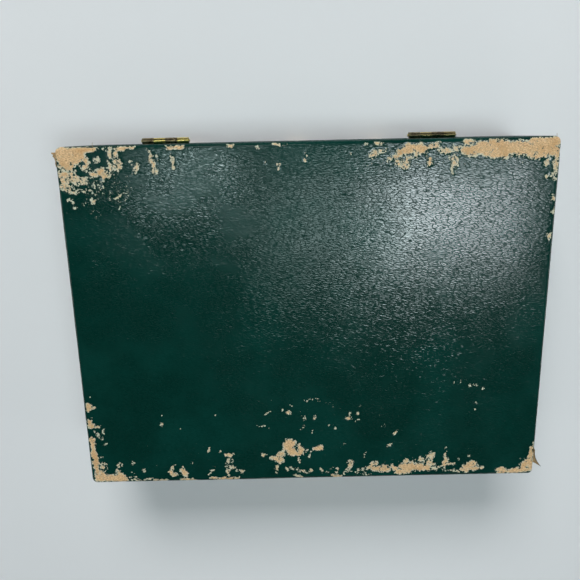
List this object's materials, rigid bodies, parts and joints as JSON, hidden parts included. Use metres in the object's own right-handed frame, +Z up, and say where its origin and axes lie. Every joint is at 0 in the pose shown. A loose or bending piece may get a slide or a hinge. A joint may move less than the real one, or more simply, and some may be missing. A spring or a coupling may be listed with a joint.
{
  "type": "cash box",
  "caption": "Shallow hinged cash box, leather-grained covering over a wooden carcass, brass butt hinges, keyed front lock and a lift-out coin tray.",
  "frame": {"origin": "centre of the flat underside of the base, lid closed", "axes": "+Z up through the lid, -Y towards the lock at the front, +Y towards the hinges, +X to the right seen from the front"},
  "size_m": [0.254, 0.2009, 0.064],
  "materials": {
    "green_leatherette": "dark green embossed leather grain, semi-gloss coat, worn to a tan backing at corners and edges",
    "lining_paper": "aged cream laid paper, matt",
    "lining_felt": "green felt, matt",
    "hinge_brass": "tarnished brass with bright worn spots",
    "lock_brass": "aged pressed brass",
    "lock_steel": "plain filed steel",
    "tray_wood": "thin planed wood, oiled",
    "carcass_wood": "bare softwood"
  },
  "bodies": {
    "base": {"base_back_wall": "carcass_wood", "base_bottom_panel": "carcass_wood", "base_covering": "green_leatherette", "base_floor_lining": "lining_felt", "base_front_wall": "carcass_wood", "base_left_wall": "carcass_wood", "base_right_wall": "carcass_wood", "base_underside_covering": "green_leatherette", "base_wall_lining": "lining_paper", "hinge_leaf_base_left": "hinge_brass", "hinge_leaf_base_right": "hinge_brass", "hinge_nails_base": "hinge_brass", "hinge_pin_left": "hinge_brass", "hinge_pin_right": "hinge_brass", "lock_back_plate": "lock_brass", "lock_case": "lock_brass", "lock_nails": "lock_brass", "tray_ledge_left": "carcass_wood", "tray_ledge_right": "carcass_wood"},
    "lid": {"hasp_nails": "lock_brass", "hinge_leaf_lid_left": "hinge_brass", "hinge_leaf_lid_right": "hinge_brass", "hinge_nails_lid": "hinge_brass", "lid_back_rail": "carcass_wood", "lid_covering": "green_leatherette", "lid_front_rail": "carcass_wood", "lid_hasp": "lock_brass", "lid_left_rail": "carcass_wood", "lid_lining": "lining_paper", "lid_right_rail": "carcass_wood", "lid_top_panel": "carcass_wood"},
    "tray": {"tray_back_wall": "tray_wood", "tray_coin_dividers": "tray_wood", "tray_felt": "lining_felt", "tray_floor": "tray_wood", "tray_front_wall": "tray_wood", "tray_left_wall": "tray_wood", "tray_long_divider": "tray_wood", "tray_note_divider": "tray_wood", "tray_right_wall": "tray_wood"},
    "lock_plug": {"lock_plug": "lock_brass"},
    "lock_bolt": {"lock_bolt": "lock_steel"}
  },
  "joints": [
    {"name": "lid_hinge", "type": "hinge", "parent": "base", "child": "lid", "pos_m": [0, 0.0962, 0.04], "axis": [-1, 0, 0], "range_deg": [0, 180]},
    {"name": "tray_lift", "type": "slide", "parent": "base", "child": "tray", "axis": [0, 0, 1], "range_m": [0, 0.02]},
    {"name": "lock_plug_turn", "type": "hinge", "parent": "base", "child": "lock_plug", "pos_m": [0, -0.1, 0.019], "axis": [0, 1, 0], "range_deg": [0, 90]},
    {"name": "lock_bolt_slide", "type": "slide", "parent": "base", "child": "lock_bolt", "axis": [1, 0, 0], "range_m": [0, 0.0038]}
  ],
  "couplings": [
    {"joint": "lock_plug_turn", "follows": "lock_bolt_slide", "rad_per_m": 413.3}
  ]
}
